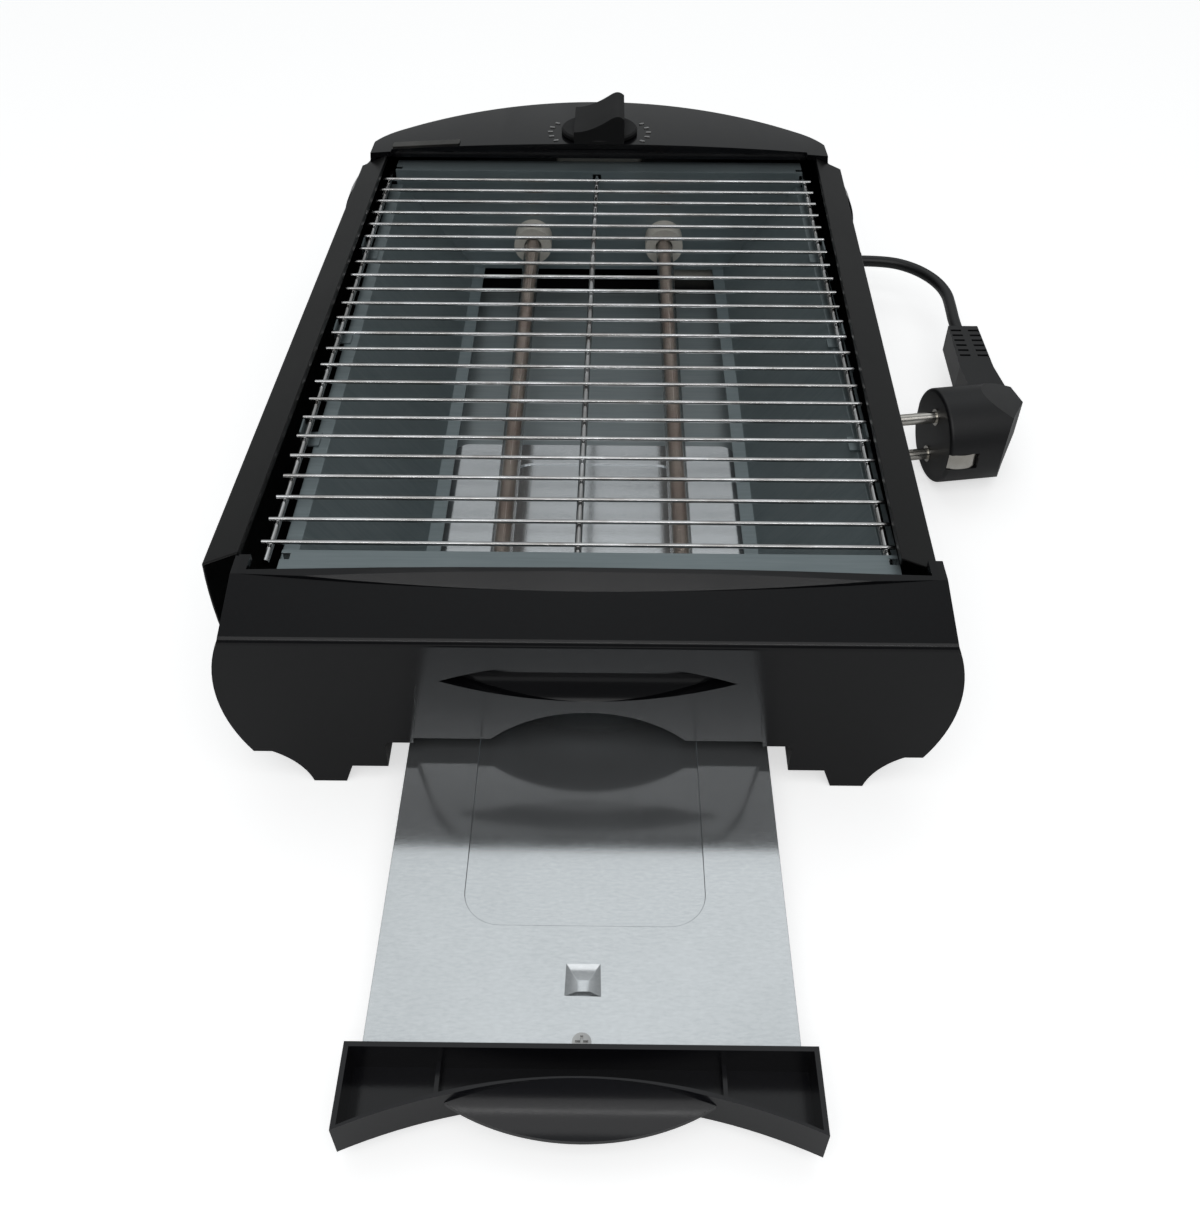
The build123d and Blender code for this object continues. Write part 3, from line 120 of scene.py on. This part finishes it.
class Shader:
    """A material's node tree with short calls for the nodes that these finishes need."""

    def __init__(self, name):
        self.material = bpy.data.materials.new(name)
        self.material.use_nodes = True
        self.tree = self.material.node_tree
        self.surface = self.tree.nodes["Principled BSDF"]
        self.place = self.tree.nodes.new("ShaderNodeTexCoord").outputs["Object"]

    def node(self, kind, **values):
        made = self.tree.nodes.new(kind)
        for key, value in values.items():
            setattr(made, key, value)
        return made

    def link(self, source, target):
        self.tree.links.new(source, target)

    def set(self, **values):
        """Plain values on the surface shader's own sockets, by name with spaces as underscores."""
        for key, value in values.items():
            self.surface.inputs[key.replace("_", " ")].default_value = value

    def stretch(self, scale):
        """The surface's place, scaled by axis."""
        mapping = self.node("ShaderNodeMapping")
        mapping.inputs["Scale"].default_value = scale
        self.link(self.place, mapping.inputs["Vector"])
        return mapping.outputs["Vector"]

    def noise(self, scale, detail=4.0, rough=0.55, along=None):
        made = self.node("ShaderNodeTexNoise")
        made.inputs["Scale"].default_value = scale
        made.inputs["Detail"].default_value = detail
        made.inputs["Roughness"].default_value = rough
        self.link(self.place if along is None else along, made.inputs["Vector"])
        return made.outputs["Fac"]

    def ramp(self, value, stops):
        """A colour or grey ramp; each stop is a place and a colour or grey."""
        made = self.node("ShaderNodeValToRGB")
        colours = made.color_ramp
        while len(colours.elements) < len(stops):
            colours.elements.new(0.5)
        for element, (place, colour) in zip(colours.elements, stops):
            element.position = place
            grey = isinstance(colour, (int, float))
            element.color = (colour, colour, colour, 1) if grey else (*colour, 1)
        self.link(value, made.inputs["Fac"])
        return made.outputs["Color"]

    def mix(self, amount, first, second):
        """Two colours mixed; each value is a number, a colour or another node's output."""
        made = self.node("ShaderNodeMix", data_type="RGBA")
        for place, value in ((mix_amount, amount), (mix_first, first), (mix_second, second)):
            socket = made.inputs[place]
            if isinstance(value, bpy.types.NodeSocket):
                self.link(value, socket)
            elif isinstance(value, (int, float)):
                socket.default_value = value
            else:
                socket.default_value = (*value, 1)
        return made.outputs[mix_result]

    def bump(self, height, distance, strength):
        made = self.node("ShaderNodeBump")
        made.inputs["Distance"].default_value = distance
        made.inputs["Strength"].default_value = strength
        self.link(height, made.inputs["Height"])
        return made.outputs["Normal"]

    def finish(self, colour=None, rough=None, normal=None):
        for source, socket in ((colour, "Base Color"), (rough, "Roughness"), (normal, "Normal")):
            if source is not None:
                self.link(source, self.surface.inputs[socket])
        return self.material


cloud_scale = 18.0
dust_scale = 900.0
grain_strength = 0.5


def moulded(name, dark, light, rough_low, rough_high, grain, grain_depth, specular=0.5):
    """Moulded plastic or rubber: cloudy colour and gloss, with a fine grain."""
    look = Shader(name)
    cloud = look.noise(cloud_scale, detail=5.0)
    dust = look.noise(dust_scale, detail=3.0)
    colour = look.mix(look.ramp(dust, [(0.42, 0.0), (0.8, 0.35)]), dark, light)
    rough = look.ramp(cloud, [(0.3, rough_low), (0.7, rough_high)])
    normal = look.bump(look.noise(grain), grain_depth, grain_strength)
    look.set(Specular_IOR_Level=specular)
    return look.finish(colour, rough, normal)


sheet_cloud_scale = 14.0
sheet_blotch_scale = 55.0
rolled_strength = 0.6


def sheet_metal(name, dark, light, rough_low, rough_high, lines, line_depth=0.00002, metal=0.5):
    """Rolled sheet metal: lines along the rolling direction over slow cloudy changes."""
    look = Shader(name)
    rolled = look.noise(1.0, detail=6.0, rough=0.65, along=look.stretch(lines))
    cloud = look.noise(sheet_cloud_scale, detail=6.0, rough=0.6)
    blotch = look.noise(sheet_blotch_scale, detail=5.0, rough=0.6)
    rolled_tone = look.ramp(rolled, [(0.3, 0.0), (0.7, 1.0)])
    cloud_tone = look.ramp(cloud, [(0.3, 0.0), (0.7, 1.0)])
    tone = look.mix(0.5, rolled_tone, cloud_tone)
    colour = look.mix(tone, dark, light)
    rough = look.mix(
        0.5,
        look.ramp(rolled, [(0.25, rough_low), (0.75, rough_high)]),
        look.ramp(blotch, [(0.3, rough_low), (0.7, rough_high)]),
    )
    look.set(Metallic=metal)
    return look.finish(colour, rough, look.bump(rolled, line_depth, rolled_strength))


plating_cloud_scale = 60.0
plating_gloss_scale = 360.0
plating_grain_scale = 720.0
plating_depth = 0.00001
plating_strength = 0.3


def plated(name, dark, light, rough_low, rough_high):
    """Bright plated metal with faint clouding."""
    look = Shader(name)
    cloud = look.noise(plating_cloud_scale, detail=5.0)
    gloss = look.noise(plating_gloss_scale)
    grain = look.noise(plating_grain_scale, detail=3.0)
    colour = look.mix(look.ramp(cloud, [(0.35, 0.0), (0.7, 1.0)]), dark, light)
    rough = look.ramp(gloss, [(0.3, rough_low), (0.7, rough_high)])
    look.set(Metallic=1.0)
    return look.finish(colour, rough, look.bump(grain, plating_depth, plating_strength))


cap_plastic = moulded(
    "cap_plastic",
    dark=(0.004, 0.004, 0.005),
    light=(0.009, 0.009, 0.01),
    rough_low=0.1,
    rough_high=0.17,
    grain=1800.0,
    grain_depth=0.00002,
    specular=0.33,
)
tray_plastic = moulded(
    "tray_plastic",
    dark=(0.005, 0.005, 0.007),
    light=(0.011, 0.011, 0.014),
    rough_low=0.14,
    rough_high=0.22,
    grain=1800.0,
    grain_depth=0.00002,
    specular=0.38,
)
knob_plastic = moulded(
    "knob_plastic",
    dark=(0.003, 0.003, 0.0035),
    light=(0.007, 0.007, 0.007),
    rough_low=0.5,
    rough_high=0.62,
    grain=3200.0,
    grain_depth=0.00005,
    specular=0.35,
)
plug_rubber = moulded(
    "plug_rubber",
    dark=(0.006, 0.006, 0.007),
    light=(0.013, 0.013, 0.015),
    rough_low=0.36,
    rough_high=0.48,
    grain=2400.0,
    grain_depth=0.00004,
)
cord_rubber = moulded(
    "cord_rubber",
    dark=(0.009, 0.009, 0.01),
    light=(0.018, 0.018, 0.02),
    rough_low=0.34,
    rough_high=0.44,
    grain=2000.0,
    grain_depth=0.00003,
)
panel_paint = moulded(
    "panel_paint",
    dark=(0.007, 0.007, 0.007),
    light=(0.011, 0.011, 0.01),
    rough_low=0.3,
    rough_high=0.38,
    grain=1500.0,
    grain_depth=0.00004,
    specular=0.35,
)
timer_plastic = moulded(
    "timer_plastic",
    dark=(0.3, 0.29, 0.26),
    light=(0.4, 0.39, 0.36),
    rough_low=0.45,
    rough_high=0.6,
    grain=1800.0,
    grain_depth=0.00004,
)
block_plastic = moulded(
    "block_plastic",
    dark=(0.62, 0.6, 0.54),
    light=(0.74, 0.72, 0.66),
    rough_low=0.4,
    rough_high=0.55,
    grain=1800.0,
    grain_depth=0.00004,
)
sleeve = moulded(
    "lead_sleeve",
    dark=(0.5, 0.48, 0.42),
    light=(0.62, 0.6, 0.54),
    rough_low=0.6,
    rough_high=0.75,
    grain=1400.0,
    grain_depth=0.00006,
)
print_white = moulded(
    "print_white",
    dark=(0.42, 0.42, 0.42),
    light=(0.55, 0.55, 0.54),
    rough_low=0.5,
    rough_high=0.6,
    grain=1400.0,
    grain_depth=0.00002,
)
ceramic_white = moulded(
    "ceramic_white",
    dark=(0.62, 0.59, 0.53),
    light=(0.8, 0.78, 0.73),
    rough_low=0.45,
    rough_high=0.6,
    grain=700.0,
    grain_depth=0.00008,
)

trough_steel = sheet_metal(
    "trough_steel",
    dark=(0.17, 0.21, 0.22),
    light=(0.25, 0.295, 0.31),
    rough_low=0.3,
    rough_high=0.42,
    lines=(40.0, 900.0, 40.0),
)
base_steel = sheet_metal(
    "base_steel",
    dark=(0.21, 0.245, 0.255),
    light=(0.3, 0.335, 0.345),
    rough_low=0.32,
    rough_high=0.44,
    lines=(40.0, 900.0, 40.0),
)
tray_steel = sheet_metal(
    "tray_steel",
    dark=(0.56, 0.585, 0.6),
    light=(0.72, 0.745, 0.765),
    rough_low=0.09,
    rough_high=0.16,
    lines=(450.0, 1300.0, 450.0),
    line_depth=0.000006,
    metal=0.85,
)

chrome_wire = plated(
    "chrome_wire",
    dark=(0.42, 0.41, 0.4),
    light=(0.72, 0.73, 0.74),
    rough_low=0.12,
    rough_high=0.22,
)
nickel = plated(
    "nickel",
    dark=(0.5, 0.47, 0.42),
    light=(0.72, 0.7, 0.66),
    rough_low=0.16,
    rough_high=0.26,
)
zinc = plated(
    "zinc",
    dark=(0.36, 0.36, 0.36),
    light=(0.55, 0.55, 0.54),
    rough_low=0.28,
    rough_high=0.4,
)
badge_metal = plated(
    "badge_metal",
    dark=(0.11, 0.108, 0.1),
    light=(0.17, 0.165, 0.155),
    rough_low=0.3,
    rough_high=0.4,
)

finish_of_slot = {
    "black_plastic": cap_plastic,
    "black_paint": panel_paint,
    "aluminised_steel": trough_steel,
    "zinc_steel": zinc,
    "chrome_wire": chrome_wire,
    "ceramic": ceramic_white,
    "timer_case": timer_plastic,
    "shaft_steel": zinc,
    "knob_plastic": knob_plastic,
    "white_print": print_white,
    "badge_metal": badge_metal,
    "cord_rubber": cord_rubber,
    "terminal_plastic": block_plastic,
    "lead_sleeve": sleeve,
    "tray_steel": tray_steel,
    "plug_rubber": plug_rubber,
    "nickel": nickel,
}

# Quartz glass, milky in streaks along the tube
streak_scale = (900.0, 12.0, 900.0)
quartz_look = Shader("quartz_glass")
streak = quartz_look.noise(1.0, rough=0.6, along=quartz_look.stretch(streak_scale))
quartz_look.set(Transmission_Weight=1.0, IOR=1.2)
quartz_glass = quartz_look.finish(
    quartz_look.ramp(streak, [(0.3, (0.8, 0.78, 0.76)), (0.7, (0.95, 0.94, 0.93))]),
    quartz_look.ramp(streak, [(0.3, 0.05), (0.7, 0.3)]),
)
finish_of_slot["quartz"] = quartz_glass

# Heated wire, in patches from reddish brown to a warm grey
wire_tone_scale = 30.0
wire_gloss_scale = 400.0
wire_look = Shader("oxidised_wire")
wire_tone = wire_look.noise(wire_tone_scale)
wire_gloss = wire_look.noise(wire_gloss_scale)
wire_look.set(Metallic=0.4)
oxidised_wire = wire_look.finish(
    wire_look.ramp(wire_tone, [(0.3, (0.4, 0.31, 0.27)), (0.7, (0.58, 0.53, 0.48))]),
    wire_look.ramp(wire_gloss, [(0.3, 0.35), (0.7, 0.5)]),
)
finish_of_slot["resistance_wire"] = oxidised_wire

slot_of_node = {row["node"]: row["material_slot"] for row in frame["record"]["subparts"]}
for name, node in nodes.items():
    node.data.materials.clear()
    node.data.materials.append(finish_of_slot[slot_of_node[name]])
cord.data.materials.append(cord_rubber)


def repaint(name, material):
    nodes[name].data.materials[0] = material


repaint("tray_front", tray_plastic)
repaint("base_plate", base_steel)


# Softened copies of the moulded and folded pieces: their sharp edges get a small round
body_of_node = {
    name: body for body, names in frame["record"]["behaviour"]["bodies"].items() for name in names
}
sharp_turn = math.radians(28.0)
flat_turn = math.radians(0.6)
merge_distance = 0.000001
curved_share = 0.55
round_segments = 3


def turn_at(edge):
    """How far the surface turns at an edge, and nothing where the edge has one face only."""
    return abs(edge.calc_face_angle(0.0))


def soften(name, width):
    """Stand in for a solid: flat areas joined, and every sharp edge rounded to a width in mm."""
    source = nodes[name]
    mesh = source.data.copy()
    mesh.name = name + "_soft"
    # The stored shading belongs to the small facets that are joined below
    stored_normals = mesh.attributes.get("custom_normal")
    if stored_normals is not None:
        mesh.attributes.remove(stored_normals)
    form = bmesh.new()
    form.from_mesh(mesh)
    bmesh.ops.remove_doubles(form, verts=form.verts, dist=merge_distance)
    bmesh.ops.dissolve_limit(
        form, angle_limit=flat_turn, verts=form.verts, edges=form.edges, delimit=set()
    )
    bmesh.ops.recalc_face_normals(form, faces=form.faces)
    for edge in form.edges:
        edge.smooth = turn_at(edge) < sharp_turn
    # A face is part of a curved surface where gentle turns take up most of its edge
    for face in form.faces:
        gentle = [edge for edge in face.edges if flat_turn < turn_at(edge) < sharp_turn]
        bent = sum(edge.calc_length() for edge in gentle)
        face.smooth = bent > curved_share * face.calc_perimeter()
    form.to_mesh(mesh)
    form.free()
    piece = bpy.data.objects.new(name + "_soft", mesh)
    piece.matrix_world = source.matrix_world
    scene.collection.objects.link(piece)
    bevel = piece.modifiers.new("edge_round", "BEVEL")
    bevel.width = width * MM
    bevel.segments = round_segments
    bevel.limit_method = "ANGLE"
    bevel.angle_limit = sharp_turn
    bevel.harden_normals = False
    bevel.use_clamp_overlap = True
    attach(piece, body_of_node[name])
    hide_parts(name)


for name, width in (
    ("front_cap", 0.7),
    ("rear_cap", 0.7),
    ("tray_front", 0.35),
    ("left_side_panel", 0.35),
    ("right_side_panel", 0.35),
    ("reflector_left", 0.25),
    ("reflector_right", 0.25),
    ("reflector_front_wall", 0.25),
    ("reflector_rear_wall", 0.25),
    ("tray_sheet", 0.3),
    ("base_plate", 0.3),
    ("knob", 0.5),
):
    soften(name, width)

# Heating coils: a fine winding in place of each plain core, in millimetres
coil_radius = 2.65
coil_wire = 0.5
coil_pitch = 0.72
coil_steps = 10
tube_x = 32.5
tube_z = 37.0
tube_span = (-143.7, 118.2)


def wound_coil(name, centre_x):
    """One open helix along the tube, as a round wire as thick as its points say."""
    first_y, last_y = tube_span
    turns = (last_y - first_y) / coil_pitch
    count = int(turns * coil_steps)
    curve = bpy.data.curves.new(name, "CURVE")
    curve.dimensions = "3D"
    curve.bevel_depth = 1.0
    curve.bevel_resolution = 1
    line = curve.splines.new("POLY")
    line.points.add(count)
    for index, control in enumerate(line.points):
        turn = 2 * math.pi * index / coil_steps
        place_x = centre_x + coil_radius * math.cos(turn)
        place_y = first_y + (last_y - first_y) * index / count
        place_z = tube_z + coil_radius * math.sin(turn)
        control.co = (*at(place_x, place_y, place_z), 1.0)
        control.radius = coil_wire / 2 * MM
    coil = bpy.data.objects.new(name, curve)
    scene.collection.objects.link(coil)
    curve.materials.append(oxidised_wire)
    return coil


for hand, side in ((-1, "left"), (1, "right")):
    winding = wound_coil(f"winding_{side}", hand * tube_x)
    core = nodes[f"heating_coil_{side}"]
    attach(winding, body_of_node[core.name])
    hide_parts(core.name)

# Floor, light and world
floor_mesh = bpy.data.meshes.new("floor")
floor_half = 3.0
floor_drop = 0.0002
floor_grey = 0.8
floor_lift = 0.62
floor_corners = [(floor_half * x, floor_half * y, 0) for x, y in ((-1, -1), (1, -1), (1, 1), (-1, 1))]
floor_mesh.from_pydata(floor_corners, [], [(0, 1, 2, 3)])
floor = bpy.data.objects.new("floor", floor_mesh)
floor.location.z = -floor_drop
scene.collection.objects.link(floor)

floor_look = Shader("floor_white")
floor_look.set(Base_Color=(floor_grey, floor_grey, floor_grey, 1), Roughness=0.9, Specular_IOR_Level=0.0)
paths = floor_look.node("ShaderNodeLightPath")
seen = floor_look.node("ShaderNodeMath", operation="MAXIMUM")
floor_look.link(paths.outputs["Is Camera Ray"], seen.inputs[0])
floor_look.link(paths.outputs["Is Transmission Ray"], seen.inputs[1])
floor_look.set(Emission_Color=(1, 1, 1, 1))
lift = floor_look.node("ShaderNodeMath", operation="MULTIPLY")
floor_look.link(seen.outputs[0], lift.inputs[0])
lift.inputs[1].default_value = floor_lift
floor_look.link(lift.outputs[0], floor_look.surface.inputs["Emission Strength"])
floor_mesh.materials.append(floor_look.material)

# World: bright high behind the toaster, dim elsewhere, and plain white to the camera
bright_patch = (0.0, 0.47, 0.883)
sky_tint = (0.96, 0.99, 1.0)
sky_stops = [(0.0, 0.15), (0.5, 0.22), (0.82, 0.33), (0.9135, 0.5), (0.966, 0.9), (1.0, 0.95)]
world = bpy.data.worlds.new("studio")
scene.world = world
world.use_nodes = True
world_tree = world.node_tree
backdrop = world_tree.nodes["Background"]
sky_place = world_tree.nodes.new("ShaderNodeTexCoord")
sky_toward = world_tree.nodes.new("ShaderNodeVectorMath")
sky_toward.operation = "DOT_PRODUCT"
sky_toward.inputs[1].default_value = bright_patch
sky_level = world_tree.nodes.new("ShaderNodeValToRGB")
sky_seen = world_tree.nodes.new("ShaderNodeMix")
sky_seen.data_type = "RGBA"
sky_paths = world_tree.nodes.new("ShaderNodeLightPath")
while len(sky_level.color_ramp.elements) < len(sky_stops):
    sky_level.color_ramp.elements.new(0.5)
for element, (position, level) in zip(sky_level.color_ramp.elements, sky_stops):
    element.position = position
    element.color = (*(tint * level for tint in sky_tint), 1)
sky_seen.inputs[mix_second].default_value = (1, 1, 1, 1)
for source, target in (
    (sky_place.outputs["Generated"], sky_toward.inputs[0]),
    (sky_toward.outputs["Value"], sky_level.inputs["Fac"]),
    (sky_paths.outputs["Is Camera Ray"], sky_seen.inputs[mix_amount]),
    (sky_level.outputs["Color"], sky_seen.inputs[mix_first]),
    (sky_seen.outputs[mix_result], backdrop.inputs["Color"]),
):
    world_tree.links.new(source, target)


def lamp(name, place, aim, size, power):
    light = bpy.data.lights.new(name, "AREA")
    light.shape = "RECTANGLE"
    light.size, light.size_y = size
    light.energy = power
    holder = bpy.data.objects.new(name, light)
    holder.location = place
    holder.rotation_mode = "QUATERNION"
    holder.rotation_quaternion = (Vector(aim) - Vector(place)).to_track_quat("-Z", "Y")
    scene.collection.objects.link(holder)


# A wide soft lamp above and behind the camera, and a row of small ones aimed at the front cap
lamp("lamp_fill", place=(0.0, -0.9, 1.4), aim=(0.0, 0.0, 0.0), size=(2.0, 1.2), power=8.0)
row_count = 20
row_pitch = 0.042
row_place = (-0.9, 1.0)
row_aim = (-0.12, 0.07)
row_size = (0.018, 0.05)
row_power = 0.03
for index in range(row_count):
    lamp_x = (index - (row_count - 1) / 2) * row_pitch
    lamp(f"lamp_row_{index}", (lamp_x, *row_place), (lamp_x, *row_aim), row_size, row_power)

scene.view_settings.view_transform = "Standard"

bpy.context.view_layer.update()
